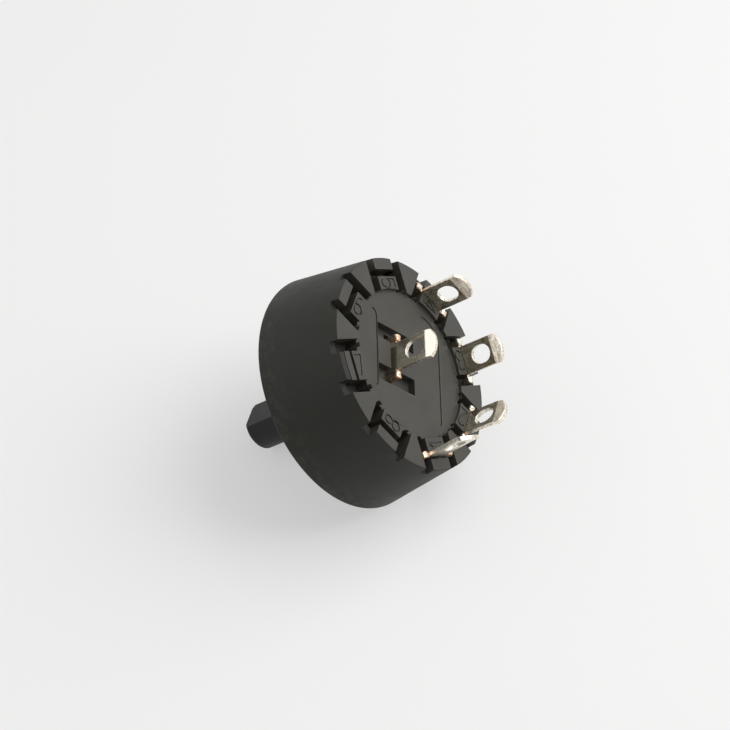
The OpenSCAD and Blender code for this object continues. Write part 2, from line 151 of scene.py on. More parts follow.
def ray_kinds(tree):
    """Whether a ray comes from the camera, and whether it is mirrored or passed through."""
    path = add_node(tree, "ShaderNodeLightPath").outputs
    mirrored = math_node(tree, "MAXIMUM", path["Is Glossy Ray"], path["Is Transmission Ray"])
    return path["Is Camera Ray"], mirrored


def smooth_step(tree, value, low, high, to_low=0.0, to_high=1.0):
    node = add_node(tree, "ShaderNodeMapRange", {0: value, 1: low, 2: high, 3: to_low, 4: to_high},
                    interpolation_type="SMOOTHSTEP")
    return node.outputs[0]


def shaded(tree, colour, tone):
    """A colour made lighter or darker by a tone around 1."""
    grey = add_node(tree, "ShaderNodeCombineColor", {0: tone, 1: tone, 2: tone}).outputs[0]
    return mix_colour(tree, 1.0, colour, grey, "MULTIPLY")


def object_place(tree, scale=(1.0, 1.0, 1.0)):
    """Object coordinates, stretched."""
    place = add_node(tree, "ShaderNodeTexCoord").outputs["Object"]
    stretch = add_node(tree, "ShaderNodeMapping", {"Vector": place, "Scale": scale}, vector_type="POINT")
    return stretch.outputs[0]


def height_along_axis(tree):
    """The distance behind the switch's front face."""
    place = add_node(tree, "ShaderNodeTexCoord").outputs["Object"]
    return add_node(tree, "ShaderNodeSeparateXYZ", {0: place}).outputs[1]


def noise(tree, vector, scale, detail=2.0, roughness=0.5, distortion=0.0):
    return add_node(tree, "ShaderNodeTexNoise", {"Vector": vector, "Scale": scale, "Detail": detail,
                                                 "Roughness": roughness, "Distortion": distortion}).outputs[0]


def new_group(name, inputs, outputs):
    """Makes a shader node group; inputs and outputs map a name to its default, a number or a colour."""
    tree = bpy.data.node_groups.new(name, "ShaderNodeTree")
    for side, sockets in (("INPUT", inputs), ("OUTPUT", outputs)):
        for label, default in sockets.items():
            kind = "NodeSocketFloat" if isinstance(default, float) else "NodeSocketColor"
            socket = tree.interface.new_socket(name=label, in_out=side, socket_type=kind)
            if side == "INPUT":
                socket.default_value = default
    return tree, tree.nodes.new("NodeGroupInput").outputs, tree.nodes.new("NodeGroupOutput").inputs


def new_material(name, constants):
    """A material with a Principled shader whose constants are set on its own sockets."""
    material = bpy.data.materials.new(name)
    material.use_nodes = True
    tree = material.node_tree
    shader = node_of_kind(tree, "BSDF_PRINCIPLED")
    for key, value in constants.items():
        shader.inputs[key].default_value = value
    return material, tree, shader


def finished_material(name, constants, group, inputs, relief):
    """A material whose colour, roughness and relief come from a shared effect; relief is in metres."""
    material, tree, shader = new_material(name, constants)
    effect = add_node(tree, "ShaderNodeGroup", inputs, node_tree=bpy.data.node_groups[group]).outputs
    tree.links.new(effect["Colour"], shader.inputs["Base Color"])
    tree.links.new(effect["Roughness"], shader.inputs["Roughness"])
    bump = add_node(tree, "ShaderNodeBump", {"Height": effect["Height"], "Distance": relief})
    tree.links.new(bump.outputs[0], shader.inputs["Normal"])
    return material


# Shared effects

def make_plastic_grain():
    """Spark-eroded grain, soft clouding from the flow of the melt, dust specks, and scuffs near the front."""
    tree, given, result = new_group(
        "plastic_grain",
        {"Colour": (0.04, 0.04, 0.037, 1), "Dust Colour": (0.2, 0.19, 0.17, 1), "Dust": 1.0,
         "Scuffs": 0.0, "Roughness": 0.5},
        {"Colour": (0, 0, 0, 1), "Roughness": 0.5, "Height": 0.0})
    place = object_place(tree)
    fine = noise(tree, place, 5200, 3, 0.6)
    cloud = noise(tree, place, 240, 4, 0.62, 0.6)
    patch = noise(tree, place, 900, 3, 0.55)
    tone = multiply(tree, scaled(tree, cloud, 1.0, 0.5), scaled(tree, fine, 0.3, 0.85))
    tinted = shaded(tree, given["Colour"], tone)
    cells = add_node(tree, "ShaderNodeTexVoronoi", {"Vector": place, "Scale": 620, "Randomness": 1.0})
    speck = smooth_step(tree, cells.outputs["Distance"], 0.04, 0.08, 1.0, 0.0)
    dust = multiply(tree, speck, smooth_step(tree, patch, 0.60, 0.66), given["Dust"])
    height = height_along_axis(tree)
    near_front = multiply(tree, smooth_step(tree, height, 0.0002, 0.0042, 1.0, 0.0),
                          smooth_step(tree, height, 0.00005, 0.0004))
    rubbing = noise(tree, object_place(tree, (1.0, 1.6, 1.0)), 700, 6, 0.75, 0.2)
    scuff = multiply(tree, near_front, smooth_step(tree, rubbing, 0.44, 0.70), given["Scuffs"])
    light = math_node(tree, "MAXIMUM", dust, scuff)
    tree.links.new(mix_colour(tree, light, tinted, given["Dust Colour"]), result["Colour"])
    clouded = math_node(tree, "ADD", given["Roughness"], scaled(tree, cloud, 0.3, -0.15))
    tree.links.new(math_node(tree, "ADD", clouded, multiply(tree, scuff, 0.15)), result["Roughness"])
    relief = math_node(tree, "ADD", multiply(tree, fine, 0.5), multiply(tree, patch, 0.5))
    tree.links.new(relief, result["Height"])


def make_rolled_plating():
    """Plated strip: rolling streaks along it, brown stains, dark pits, and a coined tip past the fold in a
    lighter colour, partly cleaner tin and partly a painted highlight of the bent tip catching the lamp.
    """
    tree, given, result = new_group(
        "rolled_plating",
        {"Tin": (0.7, 0.68, 0.6, 1), "Stain": (0.2, 0.15, 0.09, 1), "Tip": (0.85, 0.82, 0.72, 1),
         "Stain Amount": 0.5, "Tip Amount": 0.5, "Tip Waves": 0.5, "Tip From": FOLD_Y},
        {"Colour": (0, 0, 0, 1), "Roughness": 0.3, "Height": 0.0})
    place = object_place(tree)
    streak = noise(tree, object_place(tree, (1.0, 0.1, 1.0)), 4200, 4, 0.65)
    blotch = noise(tree, place, 700, 5, 0.68, 1.0)
    pits = noise(tree, place, 3200, 3, 0.6)
    ripple = noise(tree, object_place(tree, (0.25, 1.0, 0.25)), 2400, 4, 0.65, 1.6)
    past_fold = math_node(tree, "SUBTRACT", height_along_axis(tree), given["Tip From"])
    # From Tip From on, the colour turns to the lighter tip colour: partly cleaner tin, partly a painted
    # highlight.
    tip = smooth_step(tree, past_fold, -0.0001, 0.0002)
    near_fold = smooth_step(tree, past_fold, -0.0022, -0.0004, 0.7, 1.3)
    stained = multiply(tree, smooth_step(tree, blotch, 0.42, 0.58), given["Stain Amount"], near_fold)
    streaked = shaded(tree, given["Tin"], scaled(tree, streak, 0.9, 0.5))
    face = mix_colour(tree, stained, streaked, given["Stain"])
    face = mix_colour(tree, smooth_step(tree, pits, 0.60, 0.68, 0.0, 0.5), face, (0.08, 0.07, 0.06, 1))
    waves = multiply(tree, smooth_step(tree, ripple, 0.54, 0.46), given["Tip Waves"])
    tip_tin_and_highlight_colour = mix_colour(tree, waves, given["Tip"], given["Stain"])
    tip_tin_and_highlight_share = multiply(tree, tip, given["Tip Amount"])
    tree.links.new(mix_colour(tree, tip_tin_and_highlight_share, face, tip_tin_and_highlight_colour), result["Colour"])
    rough = math_node(tree, "ADD", scaled(tree, streak, 0.2, 0.14), multiply(tree, tip, 0.06))
    tree.links.new(math_node(tree, "ADD", rough, multiply(tree, stained, 0.12)), result["Roughness"])
    coined = multiply(tree, ripple, tip, scaled(tree, given["Tip Waves"], 4.0, 0.6))
    rolled = math_node(tree, "ADD", multiply(tree, streak, 0.4), multiply(tree, blotch, 0.8))
    tree.links.new(math_node(tree, "ADD", rolled, coined), result["Height"])


def make_sheared_edge():
    """Punched edge: tin smeared over bare copper alloy, barest at the root, in streaks through the strip."""
    tree, given, result = new_group(
        "sheared_edge",
        {"Tin": (0.8, 0.77, 0.68, 1), "Bare": (0.6, 0.33, 0.17, 1), "Shadow": (0.25, 0.22, 0.17, 1),
         "Bare Amount": 0.5},
        {"Colour": (0, 0, 0, 1), "Roughness": 0.35, "Height": 0.0})
    place = object_place(tree)
    smear = noise(tree, place, 1700, 4, 0.65, 1.0)
    grit = noise(tree, place, 2900, 4, 0.7, 0.6)
    fine = noise(tree, place, 6500, 2, 0.6)
    root = smooth_step(tree, height_along_axis(tree), PAD_PLANE - 0.0004, PAD_PLANE + 0.0012, 1.0, 0.35)
    bare = multiply(tree, smooth_step(tree, smear, 0.40, 0.50), given["Bare Amount"], root)
    gritty = mix_colour(tree, smooth_step(tree, grit, 0.50, 0.62, 0.0, 0.75), given["Tin"], given["Shadow"])
    tree.links.new(mix_colour(tree, bare, gritty, given["Bare"]), result["Colour"])
    tree.links.new(scaled(tree, fine, 0.25, 0.24), result["Roughness"])
    tree.links.new(math_node(tree, "ADD", grit, multiply(tree, fine, 0.4)), result["Height"])


def make_drawn_metal():
    """Drawn or rolled metal: faint lines, small pits and a slight change of tone."""
    tree, given, result = new_group(
        "drawn_metal",
        {"Colour": (0.6, 0.6, 0.6, 1), "Tarnish": (0.3, 0.26, 0.2, 1), "Tarnish Amount": 0.3,
         "Roughness": 0.25},
        {"Colour": (0, 0, 0, 1), "Roughness": 0.3, "Height": 0.0})
    lines = noise(tree, object_place(tree, (1.0, 0.1, 1.0)), 7000, 2, 0.6)
    cloud = noise(tree, object_place(tree), 900, 3, 0.6)
    share = multiply(tree, smooth_step(tree, cloud, 0.4, 0.65), given["Tarnish Amount"])
    tree.links.new(mix_colour(tree, share, given["Colour"], given["Tarnish"]), result["Colour"])
    rough = math_node(tree, "ADD", given["Roughness"], scaled(tree, lines, 0.2, -0.1))
    tree.links.new(rough, result["Roughness"])
    tree.links.new(lines, result["Height"])


# Materials

def plastic_material(name, colour, roughness, dust, scuffs=0.0):
    return finished_material(name, {"IOR": 1.45}, "plastic_grain", {
        "Colour": (*colour, 1), "Roughness": roughness, "Dust": dust, "Scuffs": scuffs}, 0.00001)


def plating_material(name, look, wear, bright_tin_from):
    return finished_material(name, {"Metallic": wear.metallic}, "rolled_plating", {
        "Tin": (*look.tin_colour, 1), "Stain": (*look.stain_colour, 1), "Tip": (*look.tip_tin_and_highlight_colour, 1),
        "Stain Amount": wear.stain, "Tip Amount": wear.tip, "Tip Waves": wear.waves,
        "Tip From": bright_tin_from}, 0.000014)


def edge_material(name, look, bare):
    return finished_material(name, {"Metallic": 1.0}, "sheared_edge", {
        "Tin": (*look.edge_colour, 1), "Bare": (*look.bare_colour, 1), "Bare Amount": bare}, 0.00003)


def metal_material(name, colour, tarnish, tarnish_amount, roughness):
    return finished_material(name, {"Metallic": 1.0}, "drawn_metal", {
        "Colour": (*colour, 1), "Tarnish": (*tarnish, 1), "Tarnish Amount": tarnish_amount,
        "Roughness": roughness}, 0.000004)


# Meshes

def merged_copy(node, name, weld=0.000012, flat_angle=0.6):
    """A copy of a CAD mesh with its doubles merged and its flat faces joined, for a bevel to work on."""
    work = bmesh.new()
    work.from_mesh(frame["nodes"][node].data)
    bmesh.ops.remove_doubles(work, verts=work.verts, dist=weld)
    bmesh.ops.dissolve_limit(work, angle_limit=math.radians(flat_angle), verts=work.verts, edges=work.edges)
    bmesh.ops.recalc_face_normals(work, faces=work.faces)
    work.verts.index_update()
    points = [tuple(v.co) for v in work.verts]
    faces = [[v.index for v in f.verts] for f in work.faces]
    work.free()
    mesh = bpy.data.meshes.new(name)
    mesh.from_pydata(points, [], faces)
    mesh.update()
    piece = bpy.data.objects.new(name, mesh)
    bpy.context.scene.collection.objects.link(piece)
    return piece


def face_array(mesh, field):
    """A vector of each face, its normal or its centre, as rows of x, y, z."""
    rows = np.empty(len(mesh.polygons) * 3, np.float32)
    mesh.polygons.foreach_get(field, rows)
    return rows.reshape(-1, 3)


def all_edges(start, end):
    return np.ones(len(start), bool)


def moulded_edges(start, end):
    """Every edge but the engraving's, the seam's and the fine chamfer's at the rim."""
    low = np.minimum(start[:, 1], end[:, 1])
    high = np.maximum(start[:, 1], end[:, 1])
    near = np.minimum(np.hypot(start[:, 0], start[:, 2]), np.hypot(end[:, 0], end[:, 2]))
    outside = near > BACK_RADIUS - 0.0002
    engraved = np.zeros(len(start), bool)
    for level in (PAD_PLANE, RECESS_PLANE):
        engraved |= (low > level - ENGRAVE_DEPTH * 1.1) & (low < level - ENGRAVE_DEPTH * 0.5)
    seam = outside & (low > SEAM_PLANE - 0.00001)
    return ~(seam | (engraved & ~outside))


def bevelled(piece, width, keep=all_edges, angle=32):
    """Rounds the sharp edges that keep lets through, with the rounding in a material slot of its own."""
    mesh = piece.data
    mesh.shade_smooth()
    mesh.set_sharp_from_angle(angle=math.radians(angle))
    ends = np.empty(len(mesh.edges) * 2, np.int32)
    mesh.edges.foreach_get("vertices", ends)
    points = np.empty(len(mesh.vertices) * 3, np.float32)
    mesh.vertices.foreach_get("co", points)
    points = points.reshape(-1, 3)[ends.reshape(-1, 2)]
    sharp = np.zeros(len(mesh.edges), bool)
    mesh.attributes["sharp_edge"].data.foreach_get("value", sharp)
    weight = (sharp & keep(points[:, 0], points[:, 1])).astype(np.float32)
    mesh.attributes.new("bevel_weight_edge", "FLOAT", "EDGE").data.foreach_set("value", weight)
    bevel = piece.modifiers.new("rounded_edges", "BEVEL")
    bevel.limit_method = "WEIGHT"
    bevel.width = width
    bevel.segments = 2
    bevel.use_clamp_overlap = False
    bevel.harden_normals = True
    bevel.material = EDGE_SLOT
    bevel.miter_outer = "MITER_ARC"


def with_round_walls(piece):
    """Applies the bevel, and gives the walls about the switch axis the normals of their true cone.

    At a corner of such a wall with distance r from the axis, the normal is (h x / r, n, h z / r), where
    n is the face normal's share along the axis and h the rest of it, with the sign that keeps it outside
    the plastic."""
    graph = bpy.context.evaluated_depsgraph_get()
    mesh = bpy.data.meshes.new_from_object(piece.evaluated_get(graph))
    piece.modifiers.clear()
    piece.data = mesh
    corners = np.empty(len(mesh.loops) * 3, np.float32)
    mesh.corner_normals.foreach_get("vector", corners)
    corners = corners.reshape(-1, 3)
    vertices = np.empty(len(mesh.loops), np.int32)
    mesh.loops.foreach_get("vertex_index", vertices)
    points = np.empty(len(mesh.vertices) * 3, np.float32)
    mesh.vertices.foreach_get("co", points)
    points = points.reshape(-1, 3)[vertices]
    sizes = np.empty(len(mesh.polygons), np.int32)
    mesh.polygons.foreach_get("loop_total", sizes)
    slots = np.empty(len(mesh.polygons), np.int32)
    mesh.polygons.foreach_get("material_index", slots)
    faces = np.repeat(face_array(mesh, "normal"), sizes, axis=0)
    radius = np.hypot(points[:, 0], points[:, 2])
    flat = np.hypot(faces[:, 0], faces[:, 2])
    facing = (points[:, 0] * faces[:, 0] + points[:, 2] * faces[:, 2]) / np.maximum(radius * flat, 1e-12)
    around = (np.abs(facing) > math.cos(FACET_TURN)) & (flat > 0.5) & (radius > SMALLEST_WALL_RADIUS)
    starts = np.concatenate([[0], np.cumsum(sizes)[:-1]])
    whole = np.minimum.reduceat(around.astype(int), starts).astype(bool)
    wall = np.repeat(whole & (slots != EDGE_SLOT), sizes)
    outward = np.sign(facing) * flat / np.maximum(radius, 1e-12)
    cone = np.stack([points[:, 0] * outward, faces[:, 1], points[:, 2] * outward], 1)
    mesh.normals_split_custom_set(np.where(wall[:, None], cone, corners).tolist())


def moulded_piece(context, node, name, colour, roughness, scuffs, body, shaded_rim_colour=None):
    """A plastic piece in place of a CAD node, with rounded edges that are smoother and in a lighter colour,
    which is a painted highlight along the edges.
    """
    look = context.scene.switch_plastic
    piece = merged_copy(node, name)
    mesh = piece.data
    # The rounded edges get a lighter copy of the colour: a painted highlight along the edges.
    lighter = [channel * look.edge_highlight_gain for channel in colour]
    polished = roughness - look.edge_polish
    mesh.materials.append(plastic_material(name + "_face", colour, roughness, look.dust, scuffs))
    mesh.materials.append(plastic_material(name + "_edge", lighter, polished, 0.0, scuffs))
    # The plate's outer rim wall takes the housing's darker colour instead of the plate's own: painted shade
    # on the plate's side.
    if shaded_rim_colour:
        mesh.materials.append(plastic_material(name + "_rim", shaded_rim_colour, look.roughness, look.dust))
        normals, centres = face_array(mesh, "normal"), face_array(mesh, "center")
        rim = (np.hypot(centres[:, 0], centres[:, 2]) > BACK_RADIUS - 0.0003) & (np.abs(normals[:, 1]) < 0.8)
        mesh.polygons.foreach_set("material_index", np.where(rim, SHADED_RIM_SLOT, FACE_SLOT).astype(np.int32))
    bevelled(piece, look.edge_radius, moulded_edges)
    with_round_walls(piece)
    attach(piece, body)
    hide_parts(node)


# Settings

class SwitchPlastic(bpy.types.PropertyGroup):
    body_colour: FloatVectorProperty(name="Body colour", description="Colour of the moulded body",
                                     subtype="COLOR", default=(0.0135, 0.013, 0.009))
    plate_colour: FloatVectorProperty(name="Plate colour", description="Colour of the back plate",
                                      subtype="COLOR", default=(0.048, 0.0462, 0.038))
    shaft_colour: FloatVectorProperty(name="Shaft colour", description="Colour of the shaft",
                                      subtype="COLOR", default=(0.007, 0.007, 0.0068))
    # Edge lightness is a painted highlight along the rounded edges; edge polish makes them smoother.
    edge_highlight_gain: FloatProperty(name="Edge lightness", description="How much lighter the painted edge highlight is",
                             default=1.5)
    edge_polish: FloatProperty(name="Edge polish", description="How much smoother worn edges are",
                               default=0.05)
    roughness: FloatProperty(name="Roughness", description="Roughness of the housing",
                             default=0.62, min=0, max=1)
    plate_roughness: FloatProperty(name="Plate roughness", description="Roughness of the back plate",
                                   default=0.46, min=0, max=1)
    shaft_roughness: FloatProperty(name="Shaft roughness", description="Roughness of the shaft",
                                   default=0.54, min=0, max=1)
    dust: FloatProperty(name="Dust", description="Share of dust specks", default=0.6, min=0, max=1)
    scuffs: FloatProperty(name="Scuffs", description="Share of scuffs at the housing's front edge",
                          default=0.16, min=0, max=1)
    edge_radius: FloatProperty(name="Edge radius", description="Radius of the moulded edges",
                               unit="LENGTH", default=0.00006)


class SwitchLugs(bpy.types.PropertyGroup):
    tin_colour: FloatVectorProperty(name="Tin colour", description="Colour of the plating",
                                    subtype="COLOR", default=(0.92, 0.86, 0.70))
    # The tip colour is partly clean tin and partly a painted highlight of the bent tips.
    tip_tin_and_highlight_colour: FloatVectorProperty(name="Tip colour", description="Colour of the tips: clean tin and a painted highlight",
                                    subtype="COLOR", default=(0.95, 0.90, 0.79))
    edge_colour: FloatVectorProperty(name="Edge colour", description="Colour of the tin on the punched edges",
                                     subtype="COLOR", default=(0.90, 0.86, 0.76))
    stain_colour: FloatVectorProperty(name="Stain colour", description="Colour of the stained plating",
                                      subtype="COLOR", default=(0.36, 0.26, 0.14))
    bare_colour: FloatVectorProperty(name="Bare colour", description="Colour of the bare copper alloy",
                                     subtype="COLOR", default=(0.74, 0.33, 0.11))
    edge_radius: FloatProperty(name="Edge radius", description="Radius of the punched edges",
                               unit="LENGTH", default=0.00007)


class SwitchMetals(bpy.types.PropertyGroup):
    steel_colour: FloatVectorProperty(name="Steel colour", description="Colour of the balls",
                                      subtype="COLOR", default=(0.72, 0.72, 0.72))
    wire_colour: FloatVectorProperty(name="Wire colour", description="Colour of the springs",
                                     subtype="COLOR", default=(0.55, 0.55, 0.54))
    bronze_colour: FloatVectorProperty(name="Bronze colour", description="Colour of the contact arm",
                                       subtype="COLOR", default=(0.72, 0.48, 0.28))
    silver_colour: FloatVectorProperty(name="Silver colour", description="Colour of the contacts",
                                       subtype="COLOR", default=(0.86, 0.85, 0.82))


class SwitchStage(bpy.types.PropertyGroup):
    azimuth: FloatProperty(name="Azimuth", description="Camera's azimuth about the aim point",
                           subtype="ANGLE", default=math.radians(130.068))
    elevation: FloatProperty(name="Elevation", description="Camera's elevation",
                             subtype="ANGLE", default=math.radians(26.014))
    roll: FloatProperty(name="Roll", description="Camera's turn about its own axis",
                        subtype="ANGLE", default=math.radians(-43.599))
    distance: FloatProperty(name="Distance", description="Distance from the aim point",
                            unit="LENGTH", default=0.2542)
    lens: FloatProperty(name="Lens", description="Focal length in millimetres", default=101.18)
    aim: FloatVectorProperty(name="Aim", description="Point that the camera looks at", subtype="XYZ",
                             default=(0.001553, 0.007259, 0.003422))
    floor_colour: FloatVectorProperty(name="Floor colour", description="Colour of the floor",
                                      subtype="COLOR", default=(0.93, 0.925, 0.92))
    paper_share: FloatProperty(name="Paper share", description="Share of plain white in the floor as seen",
                               default=0.46, min=0, max=1)
    world_strength: FloatProperty(name="World strength", description="Light from the surroundings",
                                  default=0.42)
    dim_side: FloatProperty(name="Dim side", description="Brightness of the dim side of the surroundings",
                            default=0.15, min=0, max=1)
    key_power: FloatProperty(name="Key power", description="Power of the main lamp",
                             unit="POWER", default=1.1)
    strip_power: FloatProperty(name="Strip power", description="Power of the wide lamp on the left",
                               unit="POWER", default=0.2)


# Pieces

class SWITCH_OT_housing(bpy.types.Operator):
    """Gives the housing rounded edges and moulded plastic with scuffs at its front edge"""
    bl_idname = "switch.housing"
    bl_label = "Housing"

    def execute(self, context):
        look = context.scene.switch_plastic
        moulded_piece(context, "housing", "moulded_housing", look.body_colour, look.roughness, look.scuffs,
                      "body")
        return {"FINISHED"}


class SWITCH_OT_back_plate(bpy.types.Operator):
    """Gives the back plate rounded edges and moulded plastic, with its rim wall in the housing's darker
    colour, a painted shade on the plate's side
    """
    bl_idname = "switch.back_plate"
    bl_label = "Back plate"

    def execute(self, context):
        look = context.scene.switch_plastic
        moulded_piece(context, "base", "moulded_back_plate", look.plate_colour, look.plate_roughness, 0.0,
                      "body", look.body_colour)
        return {"FINISHED"}


class SWITCH_OT_rotor(bpy.types.Operator):
    """Gives the shaft and hub rounded edges and smoother plastic"""
    bl_idname = "switch.rotor"
    bl_label = "Shaft and hub"

    def execute(self, context):
        look = context.scene.switch_plastic
        moulded_piece(context, "rotor", "moulded_rotor", look.shaft_colour, look.shaft_roughness, 0.0,
                      "turning_part")
        return {"FINISHED"}


class SWITCH_OT_lugs(bpy.types.Operator):
    """Gives the five terminals rounded punched edges, plated faces, sheared sides and staked ears"""
    bl_idname = "switch.lugs"
    bl_label = "Terminals"

    WEAR = {"terminal_1": Wear(0.0, 0.9, 0.1, 0.15, 1.0, 0.6),
            "terminal_2": Wear(0.4, 0.4, 0.8, 0.3, 0.3, 0.9),
            "terminal_3": Wear(0.8, 1.0, 0.6, 0.2, 0.15, 1.0),
            "terminal_4": Wear(0.6, 0.7, 0.6, 0.6, 0.5, 0.9),
            "terminal_common": Wear(0.2, 1.0, 0.0, 0.5, 1.0, 0.9)}

    def execute(self, context):
        look = context.scene.switch_lugs
        for node, station in LUG_STATIONS.items():
            wear = self.WEAR[node]
            name = "lug_" + node.split("_")[1]
            piece = merged_copy(node, name)
            mesh = piece.data
            # Lug 1 gets the lighter tip colour over its whole face, from the seam up, with no stain: a
            # painted highlight.
            bright_tin_from = SEAM_PLANE if node == "terminal_1" else FOLD_Y
            mesh.materials.append(plating_material(name + "_face", look, wear, bright_tin_from))
            for part, bare in (("_rounding", wear.bare_side * 0.5), ("_side", wear.bare_side),
                               ("_ear", wear.bare_ear), ("_hole", 0.05)):
                mesh.materials.append(edge_material(name + part, look, bare))
            angle = (station - TOP_STATION) * STATION_STEP
            out = np.array([math.sin(angle), 0, math.cos(angle)])
            side = np.array([math.cos(angle), 0, -math.sin(angle)])
            slots = self.face_slots(mesh, out, side)
            mesh.polygons.foreach_set("material_index", slots)
            ends = face_array(mesh, "center")[slots == EAR_SLOT]
            if len(ends) < 2:
                raise RuntimeError(node + " has no two ears to stake")
            ears = self.staked_ears(name + "_ears", ends, out, side, station)
            ears.data.materials.append(edge_material(name + "_ear_top", look, wear.bare_ear * 0.6))
            ears.data.materials.append(mesh.materials[EAR_SLOT])
            cut = np.abs(face_array(ears.data, "normal") @ side) > 0.75
            ears.data.polygons.foreach_set("material_index", cut.astype(np.int32))
            bevelled(piece, look.edge_radius, angle=40)
            for made in (piece, ears):
                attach(made, "body")
            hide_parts(node)
        return {"FINISHED"}

    @staticmethod
    def face_slots(mesh, out, side):
        """Sorts faces into the strip's faces and foot, its punched sides, the ears' ends and the hole."""
        normals, centres = face_array(mesh, "normal"), face_array(mesh, "center")
        height, beside = centres[:, 1], np.abs(centres @ side)
        foot = (np.abs(normals[:, 1]) > 0.9) & (height < SEAM_PLANE)
        sheared = (np.abs(normals @ out) < 0.6) & ~foot
        ear = sheared & (np.abs(normals @ side) > 0.9) & (height < EAR_TOP) & (beside > EAR_BESIDE)
        hole = sheared & (beside < HOLE_REACH) & (np.abs(height - HOLE_LEVEL) < HOLE_RISE)
        kinds = np.select([ear, hole, sheared], [EAR_SLOT, HOLE_SLOT, SIDE_SLOT], FACE_SLOT)
        return kinds.astype(np.int32)

    @staticmethod
    def staked_ears(name, ends, out, side, seed):
        """The two ears beside a lug, upset by staking, as lumpy rounded blocks.

        With u the latitude, v the longitude and s(x) = sign(x) times |x| to the power EAR_POWER, a block's
        points are its centre + a s(cos u) s(cos v) out + b s(cos u) s(sin v) side + c s(sin u) along the
        switch axis, all swollen by a few sines of u and v."""
        rows, columns = 13, 24
        u = np.linspace(-np.pi / 2, np.pi / 2, rows)[1:-1, None]
        v = np.linspace(0, 2 * np.pi, columns, endpoint=False)[None]
        half_out, half_beside, half_up = EAR_HALVES
        points, faces = [], []
        for sign in (-1, 1):
            end = ends[np.sign(ends @ side) == sign].mean(0)
            phase = seed * 2.1 + sign
            lump = 1 + 0.07 * np.sin(3 * v + phase) * np.cos(2 * u + phase) + 0.05 * np.sin(5 * v - 2 * phase)
            along = lump * blocky(np.cos(u)) * blocky(np.cos(v)) * half_out
            beside = lump * blocky(np.cos(u)) * blocky(np.sin(v)) * half_beside
            above = (1 + 0.1 * np.sin(2 * v + phase)) * blocky(np.sin(u)) * half_up
            centre = end + side * (-sign * EAR_INSET)
            centre[1] = EAR_TOP - EAR_DROP
            shell = (centre + along[..., None] * out + beside[..., None] * side
                     + above[..., None] * np.array([0, 1.0, 0])).reshape(-1, 3)
            first = sum(len(p) for p in points)
            points.append(np.vstack([shell, centre - [0, half_up, 0], centre + [0, half_up, 0]]))
            here = first + np.arange(columns)
            there = first + np.roll(np.arange(columns), -1)
            for row in range(rows - 3):
                low, high = row * columns, (row + 1) * columns
                faces += np.stack([here + low, there + low, there + high, here + high], 1).tolist()
            last = (rows - 3) * columns
            bottom, top = np.full(columns, first + len(shell)), np.full(columns, first + len(shell) + 1)
            faces += np.stack([bottom, there, here], 1).tolist()
            faces += np.stack([top, here + last, there + last], 1).tolist()
        mesh = bpy.data.meshes.new(name)
        mesh.from_pydata(np.vstack(points).tolist(), [], faces)
        work = bmesh.new()
        work.from_mesh(mesh)
        bmesh.ops.recalc_face_normals(work, faces=work.faces)
        work.to_mesh(mesh)
        work.free()
        mesh.shade_smooth()
        piece = bpy.data.objects.new(name, mesh)
        bpy.context.scene.collection.objects.link(piece)
        return piece


def blocky(share):
    """A sine or cosine squared off, for rounded blocks."""
    return np.sign(share) * np.abs(share) ** EAR_POWER


def finish_nodes(slot, material):
    """Puts a material on every CAD node that the record gives a slot."""
    nodes = [row["node"] for row in frame["record"]["subparts"] if row["material_slot"] == slot]
    if not nodes:
        raise RuntimeError("no node has the slot " + slot)
    for node in nodes:
        frame["nodes"][node].material_slots[0].material = material


class SWITCH_OT_detent(bpy.types.Operator):
    """Gives the balls polished steel and the springs drawn wire"""
    bl_idname = "switch.detent"
    bl_label = "Balls and springs"

    def execute(self, context):
        look = context.scene.switch_metals
        steel = metal_material("ball_polished", look.steel_colour, (0.5, 0.48, 0.45), 0.2, 0.12)
        wire = metal_material("spring_wire", look.wire_colour, (0.3, 0.28, 0.25), 0.35, 0.3)
        finish_nodes("ball_steel", steel)
        finish_nodes("spring_steel", wire)
        return {"FINISHED"}


class SWITCH_OT_contacts(bpy.types.Operator):
    """Gives the contact arm rolled bronze and all contacts silver"""
    bl_idname = "switch.contacts"
    bl_label = "Arm and contacts"

    def execute(self, context):
        look = context.scene.switch_metals
        bronze = metal_material("arm_rolled", look.bronze_colour, (0.4, 0.24, 0.14), 0.4, 0.3)
        silver = metal_material("silver", look.silver_colour, (0.55, 0.5, 0.42), 0.3, 0.25)
        finish_nodes("arm_bronze", bronze)
        finish_nodes("contact_silver", silver)
        return {"FINISHED"}


def vertex_array(name):
    """All vertices of a CAD node, as rows of x, y, z."""
    mesh = frame["nodes"][name].data
    points = np.empty(len(mesh.vertices) * 3, np.float32)
    mesh.vertices.foreach_get("co", points)
    return points.reshape(-1, 3)


def resting_plane(right):
    """The plane that the housing's rim and the shaft's tip both touch: its normal and its level.

    A normal leans from the switch axis by a tilt, towards an azimuth about that axis. The tilt is
    halved down until rim and tip are equally low. The azimuth then makes the normal square to the
    camera's right: with m and p the size and direction of right across the axis,
    m cos(azimuth - p) = -right.y / tan(tilt)."""
    housing, rotor = vertex_array("housing"), vertex_array("rotor")
    low, high = 0.0, math.radians(89)
    for _ in range(50):
        tilt = (low + high) / 2
        normal = np.array([0, math.cos(tilt), math.sin(tilt)])
        if (rotor @ normal).min() < (housing @ normal).min():
            low = tilt
        else:
            high = tilt
    size, direction = math.hypot(right[0], right[2]), math.atan2(right[0], right[2])
    azimuth = direction + math.acos(-right[1] / math.tan(tilt) / size)
    across_axis = math.sin(tilt)
    normal = np.array([math.sin(azimuth) * across_axis, math.cos(tilt), math.cos(azimuth) * across_axis])
    return normal, float(min((housing @ normal).min(), (rotor @ normal).min()))


